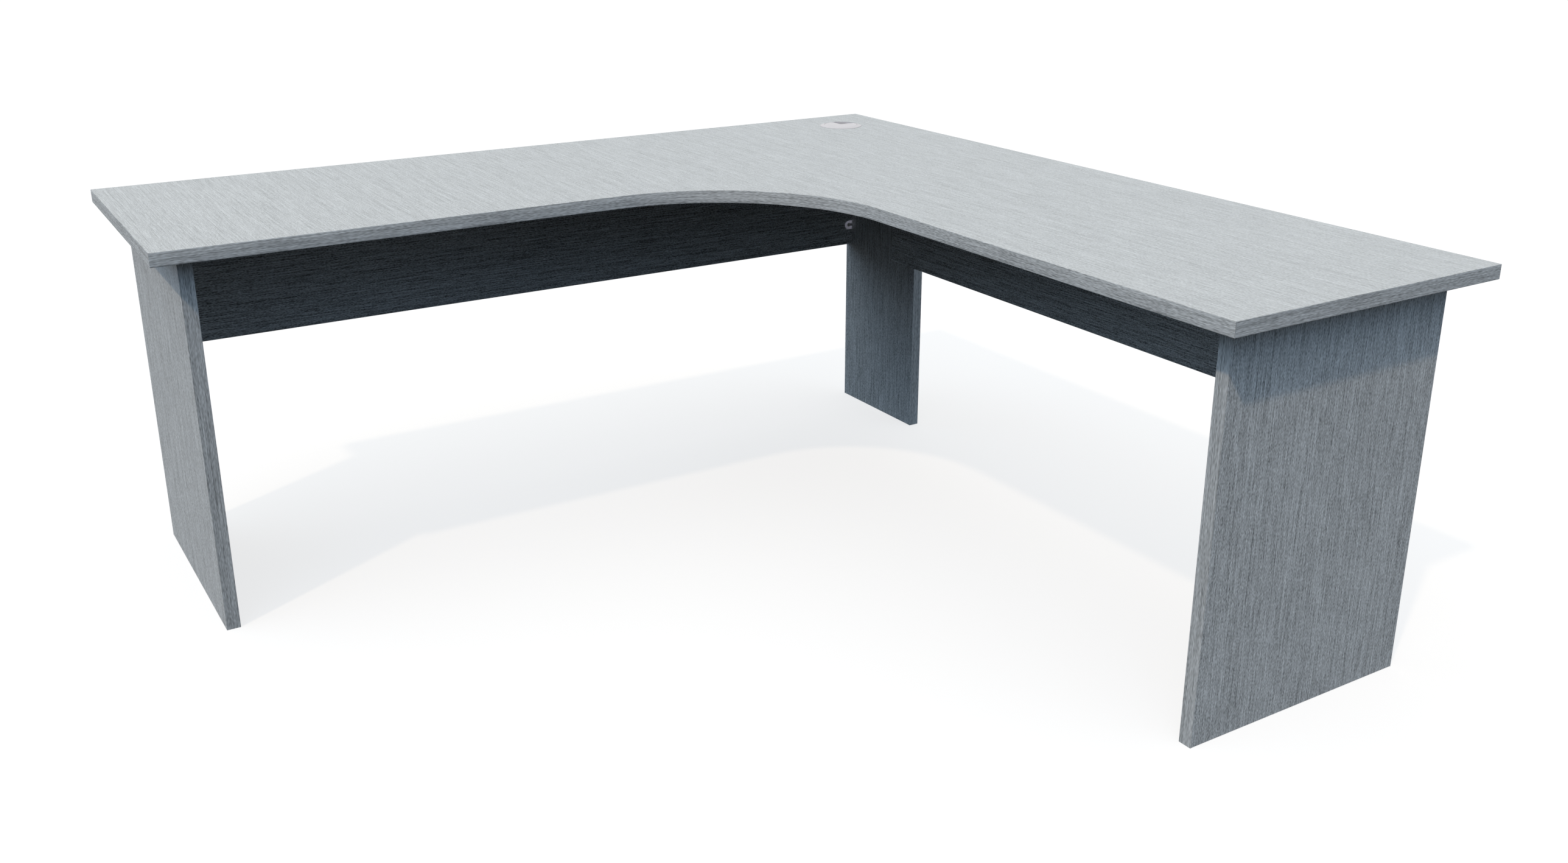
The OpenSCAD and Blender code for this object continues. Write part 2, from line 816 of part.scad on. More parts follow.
module grommet_cap() {
    color(cap_white) translate([grommet_x, grommet_y, top_z]) difference() {
        rotate_extrude()
            polygon([
                [0, cap_underside + cap_t], [cap_crown_r, cap_underside + cap_t - cap_crown_fall],
                [cap_r - cap_bevel, flange_rise], [cap_r, flange_rise - cap_bevel / 2],
                [cap_r, cap_seat], [skirt_r, cap_seat], [skirt_r, -skirt_depth],
                [skirt_r - skirt_t, -skirt_depth], [skirt_r - skirt_t, cap_underside], [0, cap_underside]
            ]);
        translate([0, 0, -skirt_depth - cut]) linear_extrude(skirt_depth + flange_rise + 3 * cut)
            cable_opening(cap_recess_d);
    }
}

worktop_board();
worktop_edge_front();
worktop_edge_left_end();
worktop_edge_right_end();
worktop_edge_back_left();
worktop_edge_back_right();
left_leg_board();
left_leg_edge_front();
left_leg_edge_rear();
left_leg_edge_foot();
right_leg_board();
right_leg_edge_front();
right_leg_edge_rear();
right_leg_edge_foot();
corner_leg_board();
corner_leg_edge_front();
corner_leg_edge_rear();
corner_leg_edge_foot();
left_modesty_board();
left_modesty_edge_bottom();
right_modesty_board();
right_modesty_edge_bottom();
right_modesty_edge_end();
left_leg_housings();
left_leg_bolts();
left_leg_dowels();
right_leg_housings();
right_leg_bolts();
right_leg_dowels();
corner_leg_housings();
corner_leg_bolts();
corner_leg_dowels();
left_modesty_housings();
left_modesty_bolts();
left_modesty_dowels();
right_modesty_housings();
right_modesty_bolts();
right_modesty_dowels();
left_leg_cam_front();
left_leg_cam_rear();
right_leg_cam_front();
right_leg_cam_rear();
corner_leg_cam_front();
corner_leg_cam_rear();
left_modesty_cam_outer_low();
left_modesty_cam_outer_high();
left_modesty_cam_corner_low();
left_modesty_cam_corner_high();
right_modesty_cam_low();
right_modesty_cam_high();
lap_screws();
grommet_liner();
grommet_cap();
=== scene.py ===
"""Looks of an L-shaped corner workstation of faced board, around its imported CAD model.

Everything is in metres, in the row frame. The origin lies on the floor under the middle of the
worktop's outline, the worktop's back corner points to +X +Y, and the user sits at -X -Y.
"""

import logging
import math
from dataclasses import dataclass
from enum import Enum

import bmesh
import bpy
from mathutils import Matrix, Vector


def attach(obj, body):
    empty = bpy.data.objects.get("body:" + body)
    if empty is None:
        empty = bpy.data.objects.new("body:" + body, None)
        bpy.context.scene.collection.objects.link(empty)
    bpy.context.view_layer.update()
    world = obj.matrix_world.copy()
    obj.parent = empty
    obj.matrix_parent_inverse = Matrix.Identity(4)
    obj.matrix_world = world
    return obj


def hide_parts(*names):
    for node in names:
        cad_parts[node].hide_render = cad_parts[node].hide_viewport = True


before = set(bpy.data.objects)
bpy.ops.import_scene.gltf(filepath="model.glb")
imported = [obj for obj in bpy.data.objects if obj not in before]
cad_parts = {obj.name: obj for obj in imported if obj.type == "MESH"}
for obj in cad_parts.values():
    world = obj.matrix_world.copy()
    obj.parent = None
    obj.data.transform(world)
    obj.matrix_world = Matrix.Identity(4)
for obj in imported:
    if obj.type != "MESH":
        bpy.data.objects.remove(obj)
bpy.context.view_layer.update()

MM = 0.001
log = logging.getLogger("workstation")

Colour = tuple[float, float, float]
Point = tuple[float, float, float]
Socket = bpy.types.NodeSocket


# Shader trees

class Tree:
    """Short calls that add and join the nodes of one shader tree."""

    def __init__(self, tree: bpy.types.NodeTree) -> None:
        """Takes the tree to add to.

        Args:
            tree: a material's, world's or group's node tree.
        """
        self.tree = tree

    def node(self, kind: str, **settings: object) -> bpy.types.Node:
        """Adds a node.

        Args:
            kind: the node's type, without the leading "ShaderNode".
            settings: attributes of the node and their values.

        Returns:
            The new node.
        """
        made = self.tree.nodes.new("ShaderNode" + kind)
        for name, value in settings.items():
            setattr(made, name, value)
        return made

    def feed(self, node: bpy.types.Node, **inputs: object) -> bpy.types.Node:
        """Sets or links inputs of a node.

        Args:
            node: the node to feed.
            inputs: input names, with "_" for each space, and a socket or a plain value for each.

        Returns:
            The same node.
        """
        for name, value in inputs.items():
            self.put(node.inputs[name.replace("_", " ")], value)
        return node

    def put(self, target: Socket, value: object) -> None:
        """Links a socket to an input, or sets the input to a plain value.

        Args:
            target: the input.
            value: a socket or a plain value.
        """
        if isinstance(value, bpy.types.NodeSocket):
            self.tree.links.new(value, target)
        else:
            target.default_value = value

    def math(self, operation: str, *values: object) -> Socket:
        """Adds a Math node.

        Args:
            operation: the node's operation.
            values: sockets or numbers for its inputs, in order.

        Returns:
            The node's result.
        """
        node = self.node("Math", operation=operation)
        for target, value in zip(node.inputs, values):
            self.put(target, value)
        return node.outputs[0]

    def vector(self, operation: str, *values: object) -> Socket:
        """Adds a Vector Math node.

        Args:
            operation: the node's operation.
            values: sockets or plain values for its vector inputs, in order.

        Returns:
            The resulting vector.
        """
        node = self.node("VectorMath", operation=operation)
        for target, value in zip(node.inputs, values):
            self.put(target, value)
        return node.outputs[0]

    def scaled(self, vector: object, factor: Socket) -> Socket:
        """Scales a vector.

        Args:
            vector: a socket or plain values.
            factor: what the vector is multiplied by.

        Returns:
            The scaled vector.
        """
        node = self.node("VectorMath", operation="SCALE")
        return self.feed(node, Vector=vector, Scale=factor).outputs[0]

    def joined(self, *parts: object) -> Socket:
        """Joins three parts into a vector.

        Args:
            parts: sockets or numbers for X, Y and Z, in order.

        Returns:
            The vector.
        """
        return self.feed(self.node("CombineXYZ"), **dict(zip("XYZ", parts))).outputs[0]

    def parts(self, vector: Socket) -> dict[str, Socket]:
        """Splits a vector.

        Args:
            vector: the vector.

        Returns:
            Its three parts, by axis.
        """
        node = self.feed(self.node("SeparateXYZ"), Vector=vector)
        return {axis: node.outputs[axis] for axis in "XYZ"}

    def bumped(self, height: Socket, strength: float, distance: float) -> Socket:
        """Normal of a surface that a height raises and lowers.

        Args:
            height: the signed height, which spreads about 1 to each side.
            strength: how much of the bump is used.
            distance: how far a height of 1 stands out, in metres.

        Returns:
            The normal.
        """
        node = self.feed(self.node("Bump"), Strength=strength, Distance=distance, Height=height)
        return node.outputs[0]

    def ramp(self, value: Socket, low: float, high: float) -> Socket:
        """Smooth step of a value.

        Args:
            value: the value to map.
            low: where the result is 0.
            high: where the result is 1.

        Returns:
            A value from 0 to 1.
        """
        node = self.node("MapRange", interpolation_type="SMOOTHSTEP")
        self.feed(node, Value=value, From_Min=low, From_Max=high)
        return node.outputs[0]

    def noise(self, position: Socket, cell: Point, detail: float = 0.0) -> Socket:
        """Signed noise whose cells are stretched to real sizes.

        Args:
            position: a position in metres.
            cell: the cell's size along each axis, in metres.
            detail: how many finer octaves are added.

        Returns:
            Noise of mean 0 that spreads about 1 to each side.
        """
        stretched = self.vector("DIVIDE", position, cell)
        turned = self.node("VectorRotate", rotation_type="EULER_XYZ")
        self.feed(turned, Vector=stretched, Rotation=NOISE_TURN)
        node = self.node("TexNoise", noise_dimensions="3D", normalize=True)
        self.feed(node, Vector=turned.outputs[0], Scale=1.0, Detail=detail, Roughness=0.5)
        return self.math("MULTIPLY", self.math("SUBTRACT", node.outputs[0], 0.5), NOISE_SPREAD)

    def weighted(self, *terms: tuple[Socket, float]) -> Socket:
        """Weighted sum.

        Args:
            terms: pairs of a socket and its weight.

        Returns:
            The sum.
        """
        total = self.math("MULTIPLY", terms[0][0], terms[0][1])
        for value, weight in terms[1:]:
            total = self.math("MULTIPLY_ADD", value, weight, total)
        return total

    def blend(self, factor: Socket, low: Colour, high: Colour) -> Socket:
        """Colour between two colours.

        Args:
            factor: 0 for low, 1 for high.
            low: colour at 0.
            high: colour at 1.

        Returns:
            The colour.
        """
        node = self.node("Mix", data_type="RGBA")
        self.put(node.inputs["Factor"], factor)
        self.put(node.inputs[6], (*low, 1.0))
        self.put(node.inputs[7], (*high, 1.0))
        return node.outputs[2]

    def between(self, factor: Socket, low: Socket, high: Socket) -> Socket:
        """Value between two values.

        Args:
            factor: 0 for low, 1 for high.
            low: value at 0.
            high: value at 1.

        Returns:
            The value.
        """
        node = self.node("Mix", data_type="FLOAT")
        self.put(node.inputs["Factor"], factor)
        self.put(node.inputs[2], low)
        self.put(node.inputs[3], high)
        return node.outputs[0]


# What brings plain noise to a spread of about 1
NOISE_SPREAD = 7.0

# How the noise's cells are turned, so that they don't line up in rows on a board's face
NOISE_TURN = (0.61, 0.43, 0.87)

# What smudges and mottling come to on average
MASK_MEAN = 0.5


class Effect:
    """A shader node group that several finishes share. It is built at its first use."""

    name: str
    inputs: tuple[tuple[str, str], ...]
    outputs: tuple[str, ...]

    def group(self) -> bpy.types.ShaderNodeTree:
        """Gives the group, and builds it if need be.

        Returns:
            The node group.
        """
        found = bpy.data.node_groups.get(self.name)
        if found:
            return found
        made = bpy.data.node_groups.new(self.name, "ShaderNodeTree")
        for name, kind in self.inputs:
            made.interface.new_socket(name=name, in_out="INPUT", socket_type="NodeSocket" + kind)
        for name in self.outputs:
            made.interface.new_socket(name=name, in_out="OUTPUT", socket_type="NodeSocketFloat")
        tree = Tree(made)
        source = made.nodes.new("NodeGroupInput")
        target = made.nodes.new("NodeGroupOutput")
        results = self.wire(tree, {name: source.outputs[name] for name, _ in self.inputs})
        for name, value in zip(self.outputs, results):
            tree.put(target.inputs[name], value)
        return made

    def wire(self, tree: Tree, given: dict[str, Socket]) -> tuple[Socket, ...]:
        """Makes the group's inside.

        Args:
            tree: the group's tree.
            given: the group's inputs by name.

        Returns:
            One socket for each of the group's outputs.
        """
        raise NotImplementedError

    def place(self, tree: Tree, **inputs: object) -> tuple[Socket, ...]:
        """Places the group in a material.

        Args:
            tree: the material's tree.
            inputs: the group's inputs, with "_" for each space.

        Returns:
            The group's outputs, in order.
        """
        node = tree.node("Group")
        node.node_tree = self.group()
        tree.feed(node, **inputs)
        return tuple(node.outputs[name] for name in self.outputs)


class LinearGrain(Effect):
    """Printed grain of fine dashes that run along Z of the position that it is given."""

    name = "linear_grain"
    inputs = (("Position", "Vector"), ("Fineness", "Float"), ("Length", "Float"))
    outputs = ("Grain", "Relief")

    # How far the dashes wander sideways, and the size of their bends, in metres
    wander = 0.0002
    bends = (0.05, 0.05, 0.16)

    # The layers' cells, in metres: a dash is about half as wide and as long as its cell
    strand_cell = (0.0016, 0.0016, 0.050)
    vein_cell = (0.0017, 0.0017, 0.150)
    pore_cell = (0.0015, 0.0015, 0.0042)
    fibre_cell = (0.0005, 0.0005, 0.012)
    band_cell = (0.012, 0.012, 0.30)
    cloud_cell = (0.070, 0.070, 0.60)

    # Between which depths the darkest dashes are deepened, and by how much
    deepening = (0.6, 2.2)
    deepened = 0.3

    def wire(self, tree: Tree, given: dict[str, Socket]) -> tuple[Socket, ...]:
        """Layers strands, veins, pores and fibres over soft bands and clouds.

        See Effect.wire for Args and Returns.
        """
        position = tree.scaled(given["Position"], given["Fineness"])
        position = tree.vector("DIVIDE", position, tree.joined(1.0, 1.0, given["Length"]))
        shift = tree.math("MULTIPLY", tree.noise(position, self.bends), self.wander)
        position = tree.vector("ADD", position, tree.joined(shift, 0.0, 0.0))
        strands = tree.noise(position, self.strand_cell)
        veins = tree.noise(position, self.vein_cell)
        pores = tree.noise(position, self.pore_cell)
        fibres = tree.noise(position, self.fibre_cell, 1.0)
        bands = tree.noise(position, self.band_cell)
        clouds = tree.noise(position, self.cloud_cell)
        grain = tree.weighted(
            (strands, 0.51), (veins, 0.49), (pores, 0.76), (fibres, 0.75), (bands, 0.04),
            (clouds, 0.04),
        )
        dark = tree.ramp(tree.math("MULTIPLY", grain, -1.0), *self.deepening)
        grain = tree.math("MULTIPLY_ADD", dark, -self.deepened, grain)
        relief = tree.weighted((pores, 0.3), (strands, 0.4), (fibres, 0.3))
        return grain, relief


class HandlingMarks(Effect):
    """Soft smudges of a wiped surface, and fine dust where it faces up."""

    name = "handling_marks"
    inputs = (("Position", "Vector"), ("Spread", "Float"))
    outputs = ("Smudge", "Dust")

    # The cells of the marks, in metres
    wiped_cell = (0.22, 0.09, 0.15)
    touched_cell = (0.035, 0.035, 0.035)
    speck_cell = (0.0016, 0.0016, 0.0016)

    # Which specks show as dust, and how far up a surface must face to hold it
    shown = (0.6, 2.4)
    level = (0.6, 0.98)

    def wire(self, tree: Tree, given: dict[str, Socket]) -> tuple[Socket, ...]:
        """Mixes wide wiping arcs with fine specks. See Effect.wire for Args and Returns."""
        position = tree.scaled(given["Position"], given["Spread"])
        wiped = tree.noise(position, self.wiped_cell, 3.0)
        touched = tree.noise(position, self.touched_cell, 2.0)
        smudge = tree.math("ADD", tree.weighted((wiped, 0.18), (touched, 0.08)), MASK_MEAN)
        specks = tree.noise(position, self.speck_cell, 1.0)
        up = tree.ramp(tree.parts(tree.node("TexCoord").outputs["Normal"])["Z"], *self.level)
        dust = tree.math("MULTIPLY", tree.ramp(specks, *self.shown), up)
        return smudge, dust


class MouldedSkin(Effect):
    """Fine spark-eroded texture of moulded or cast pieces."""

    name = "moulded_skin"
    inputs = (("Position", "Vector"), ("Grain Size", "Float"))
    outputs = ("Height", "Mottle")

    # The cells of the pits and of the flow marks, against the grain size
    pit_cell = (1.0, 1.0, 1.0)
    flow_cell = (14.0, 22.0, 18.0)

    def wire(self, tree: Tree, given: dict[str, Socket]) -> tuple[Socket, ...]:
        """Lays fine pits over soft flow marks. See Effect.wire for Args and Returns."""
        size = given["Grain Size"]
        position = tree.vector("DIVIDE", given["Position"], tree.joined(size, size, size))
        pits = tree.noise(position, self.pit_cell, 2.0)
        flow = tree.noise(position, self.flow_cell, 2.0)
        height = tree.weighted((pits, 0.8), (flow, 0.2))
        mottle = tree.math("ADD", tree.weighted((flow, 0.22), (pits, 0.08)), MASK_MEAN)
        return height, mottle


LINEAR_GRAIN = LinearGrain()
HANDLING_MARKS = HandlingMarks()
MOULDED_SKIN = MouldedSkin()


# Finishes

# How far a print may depart from its board's colour: so many times its contrast, but no more
# than the widest reach, which keeps its palest part below white
REACH = 3.0
WIDEST_REACH = 0.8


class Flow(Enum):
    """The way that a piece's grain runs: the axes that lie across it, through it and along it."""

    ALONG_X = ("Y", "Z", "X")
    ALONG_Y = ("X", "Z", "Y")
    ALONG_Z = ("X", "Y", "Z")
    SWEPT = ("Y", "Z", "X", "sweep")


class Facing(Enum):
    """The axis that a board's faces look along."""

    X = "X"
    Y = "Y"
    Z = "Z"


@dataclass(frozen=True)
class Finish:
    """What every finish has: its name, its colour and how rough and shiny it is."""

    name: str
    colour: Colour
    roughness: float
    specular: float

    def material(self) -> bpy.types.Material:
        """Makes the finish's material.

        Returns:
            A new material.
        """
        made = bpy.data.materials.new(self.name)
        made.use_nodes = True
        made.node_tree.nodes.clear()
        tree = Tree(made.node_tree)
        shader = tree.node("BsdfPrincipled")
        output = tree.node("OutputMaterial")
        tree.feed(shader, Specular_IOR_Level=self.specular)
        self.wire(tree, shader)
        tree.put(output.inputs["Surface"], shader.outputs[0])
        made.diffuse_color = (*self.colour, 1.0)
        return made

    def wire(self, tree: Tree, shader: bpy.types.Node) -> None:
        """Feeds the shader's colour, roughness and normal.

        Args:
            tree: the material's tree.
            shader: the material's Principled BSDF.
        """
        raise NotImplementedError

    def shade(self, level: float) -> Colour:
        """The finish's colour, made lighter or darker.

        Args:
            level: what the colour is multiplied by.

        Returns:
            The new colour.
        """
        return tuple(channel * level for channel in self.colour)

    def roughened(self, tree: Tree, *marks: tuple[Socket, float], about: float) -> Socket:
        """The finish's roughness, raised and lowered by its marks.

        Args:
            tree: the material's tree.
            marks: pairs of a mark and how much it roughens.
            about: what the marks come to on average, which is taken off again.

        Returns:
            The roughness.
        """
        return tree.math("ADD", tree.weighted(*marks), self.roughness - about)


@dataclass(frozen=True)
class Laminate(Finish):
    """Printed board laminate with a fine linear grain."""

    contrast: float
    flow: Flow
    length: float = 1.0
    fineness: float = 1.0
    relief: float = 0.012 * MM

    def grain(self, tree: Tree) -> tuple[Socket, Socket]:
        """Gives the grain and its relief.

        Args:
            tree: the material's tree.

        Returns:
            The signed grain and its relief.
        """
        return self.grain_along(tree, self.flow, self.fineness, self.length)

    @staticmethod
    def grain_along(
        tree: Tree, flow: Flow, fineness: float = 1.0, length: float = 1.0,
    ) -> tuple[Socket, Socket]:
        """Gives the grain that runs one way.

        Args:
            tree: the material's tree.
            flow: the way that it runs.
            fineness: how much finer than the plain print it is.
            length: how long its dashes are, against the plain print's.

        Returns:
            The signed grain and its relief.
        """
        if flow is Flow.SWEPT:
            source = tree.node("UVMap", uv_map=flow.value[3]).outputs[0]
        else:
            source = tree.node("TexCoord").outputs["Object"]
        parts = tree.parts(source)
        turned = tree.joined(*(parts[axis] for axis in flow.value[:3]))
        return LINEAR_GRAIN.place(tree, Position=turned, Fineness=fineness, Length=length)

    def wire(self, tree: Tree, shader: bpy.types.Node) -> None:
        """Prints the grain, and lays faint marks over it. See Finish.wire for Args."""
        grain, relief = self.grain(tree)
        position = tree.node("TexCoord").outputs["Object"]
        smudge, dust = HANDLING_MARKS.place(tree, Position=position, Spread=1.0)
        reach = min(REACH * self.contrast, WIDEST_REACH)
        toned = tree.weighted((grain, self.contrast), (smudge, 0.02), (dust, 0.03))
        factor = tree.math("ADD", tree.math("DIVIDE", toned, 2.0 * reach), 0.5)
        colour = tree.blend(factor, self.shade(1.0 - reach), self.shade(1.0 + reach))
        rough = self.roughened(tree, (grain, -0.012), (smudge, 0.05), (dust, 0.05), about=0.025)
        normal = tree.bumped(relief, 0.5, self.relief)
        tree.feed(shader, Base_Color=colour, Roughness=rough, Normal=normal)


@dataclass(frozen=True)
class EdgeStrip(Laminate):
    """Edging whose print runs its own way, and follows the board's where it turns onto its face."""

    face_flow: Flow = Flow.ALONG_Z
    facing: Facing = Facing.X
    face_contrast: float = 0.1
    turn: tuple[float, float] = (0.80, 0.97)

    def grain(self, tree: Tree) -> tuple[Socket, Socket]:
        """Turns from the strip's print to the board's. See Laminate.grain for Args and Returns."""
        strip, strip_relief = self.grain_along(tree, self.flow, self.fineness, self.length)
        face, face_relief = self.grain_along(tree, self.face_flow)
        face = tree.math("MULTIPLY", face, self.face_contrast / self.contrast)
        normal = tree.parts(tree.node("TexCoord").outputs["Normal"])
        mask = tree.ramp(tree.math("ABSOLUTE", normal[self.facing.value]), *self.turn)
        return tree.between(mask, strip, face), tree.between(mask, strip_relief, face_relief)


@dataclass(frozen=True)
class Moulded(Finish):
    """Moulded plastic with a fine eroded skin."""

    grain_size: float
    relief: float

    def wire(self, tree: Tree, shader: bpy.types.Node) -> None:
        """Lays the skin and faint marks. See Finish.wire for Args."""
        position = tree.node("TexCoord").outputs["Object"]
        height, mottle = MOULDED_SKIN.place(tree, Position=position, Grain_Size=self.grain_size)
        smudge, dust = HANDLING_MARKS.place(tree, Position=position, Spread=4.0)
        tone = tree.weighted((mottle, 0.7), (smudge, 0.2), (dust, 0.3))
        colour = tree.blend(tone, self.shade(0.95), self.shade(1.05))
        rough = self.roughened(tree, (mottle, 0.10), (smudge, 0.06), (dust, 0.10), about=0.08)
        normal = tree.bumped(height, 0.6, self.relief)
        tree.feed(shader, Base_Color=colour, Roughness=rough, Normal=normal)


@dataclass(frozen=True)
class Metal(Finish):
    """Plated or cast metal, dulled in its low places."""

    grain_size: float
    relief: float

    def wire(self, tree: Tree, shader: bpy.types.Node) -> None:
        """Lays the skin, with duller and darker patches. See Finish.wire for Args."""
        position = tree.node("TexCoord").outputs["Object"]
        height, mottle = MOULDED_SKIN.place(tree, Position=position, Grain_Size=self.grain_size)
        smudge, _ = HANDLING_MARKS.place(tree, Position=position, Spread=8.0)
        tone = tree.weighted((mottle, 0.7), (smudge, 0.3))
        colour = tree.blend(tone, self.shade(0.84), self.shade(1.10))
        rough = self.roughened(tree, (mottle, 0.20), (smudge, 0.10), about=0.15)
        normal = tree.bumped(height, 0.7, self.relief)
        tree.feed(shader, Base_Color=colour, Roughness=rough, Metallic=1.0, Normal=normal)


@dataclass(frozen=True)
class TurnedBeech(Finish):
    """Pale hardwood of the dowels, with its own grain and pores."""

    flow: Flow
    fineness: float = 1.6
    length: float = 0.6
    relief: float = 0.04 * MM

    def wire(self, tree: Tree, shader: bpy.types.Node) -> None:
        """Runs the grain along the dowel. See Finish.wire for Args."""
        grain, relief = Laminate.grain_along(tree, self.flow, self.fineness, self.length)
        position = tree.node("TexCoord").outputs["Object"]
        smudge, _ = HANDLING_MARKS.place(tree, Position=position, Spread=6.0)
        tone = tree.math("ADD", tree.weighted((grain, 0.22), (smudge, 0.2)), 0.4)
        colour = tree.blend(tone, self.shade(0.72), self.shade(1.18))
        rough = self.roughened(tree, (smudge, 0.1), about=0.05)
        normal = tree.bumped(relief, 0.6, self.relief)
        tree.feed(shader, Base_Color=colour, Roughness=rough, Normal=normal)


# The laminate's grey, as a linear colour, and its surface
BOARD_GREY: Colour = (0.520, 0.540, 0.550)
LAMINATE_ROUGHNESS = 0.58
LAMINATE_SPECULAR = 0.07

# How far the print departs from the grey. The boards share one print, but its contrast is painted
# per piece after the light that falls on it: low on the brightly lit top, higher on the legs and
# highest on the panels in deep shade, as painted light and shade
TOP_CONTRAST = 0.095
LEG_CONTRAST = 0.215
PANEL_CONTRAST = 0.29
STRIP_CONTRAST = 0.18

# How long for their width, and how fine, the strips' dashes are against the boards'
STRIP_LENGTH = 2.2
STRIP_FINENESS = 1.2

# The fittings: each one's colour, roughness, shine, and its skin's grain size and relief
SATIN_NICKEL = Metal("satin_nickel", (0.84, 0.84, 0.92), 0.92, 0.5, 0.30 * MM, 0.010 * MM)
GROMMET_PLASTIC = Moulded("grommet_plastic", (0.60, 0.585, 0.605), 0.40, 0.40, 0.45 * MM, 0.01 * MM)
CAST_ZINC = Metal("cast_zinc", (0.52, 0.53, 0.55), 0.42, 0.5, 0.30 * MM, 0.02 * MM)
PLATED_STEEL = Metal("plated_steel", (0.62, 0.63, 0.65), 0.34, 0.5, 0.22 * MM, 0.01 * MM)

# The dowels' wood, as a linear colour
BEECH: Colour = (0.55, 0.38, 0.22)


def laminate(name: str, contrast: float, flow: Flow) -> Laminate:
    """The set's laminate on one board.

    Args:
        name: the finish's name.
        contrast: how far its grain departs from the board's grey.
        flow: the way that its grain runs.

    Returns:
        The finish.
    """
    return Laminate(name, BOARD_GREY, LAMINATE_ROUGHNESS, LAMINATE_SPECULAR, contrast, flow)


def strip_of(name: str, flow: Flow, board: Laminate, facing: Facing) -> EdgeStrip:
    """The edging that goes with a board.

    Args:
        name: the finish's name.
        flow: the way that the strip's grain runs.
        board: the board's laminate.
        facing: the axis that the board's faces look along.

    Returns:
        The finish.
    """
    return EdgeStrip(
        name, BOARD_GREY, LAMINATE_ROUGHNESS, LAMINATE_SPECULAR, STRIP_CONTRAST, flow,
        STRIP_LENGTH, STRIP_FINENESS, face_flow=board.flow, facing=facing,
        face_contrast=board.contrast,
    )


def dress(material: bpy.types.Material, *nodes: str) -> None:
    """Gives CAD nodes a material.

    Args:
        material: the material.
        nodes: the nodes' names.
    """
    for name in nodes:
        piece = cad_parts[name]
        if not piece.material_slots:
            piece.data.materials.append(material)
        for slot in piece.material_slots:
            slot.material = material
        log.info("%s: %s", name, material.name)


# Sub-assemblies

# The least turn that makes an edge sharp
SHARP_ANGLE = math.radians(40.0)


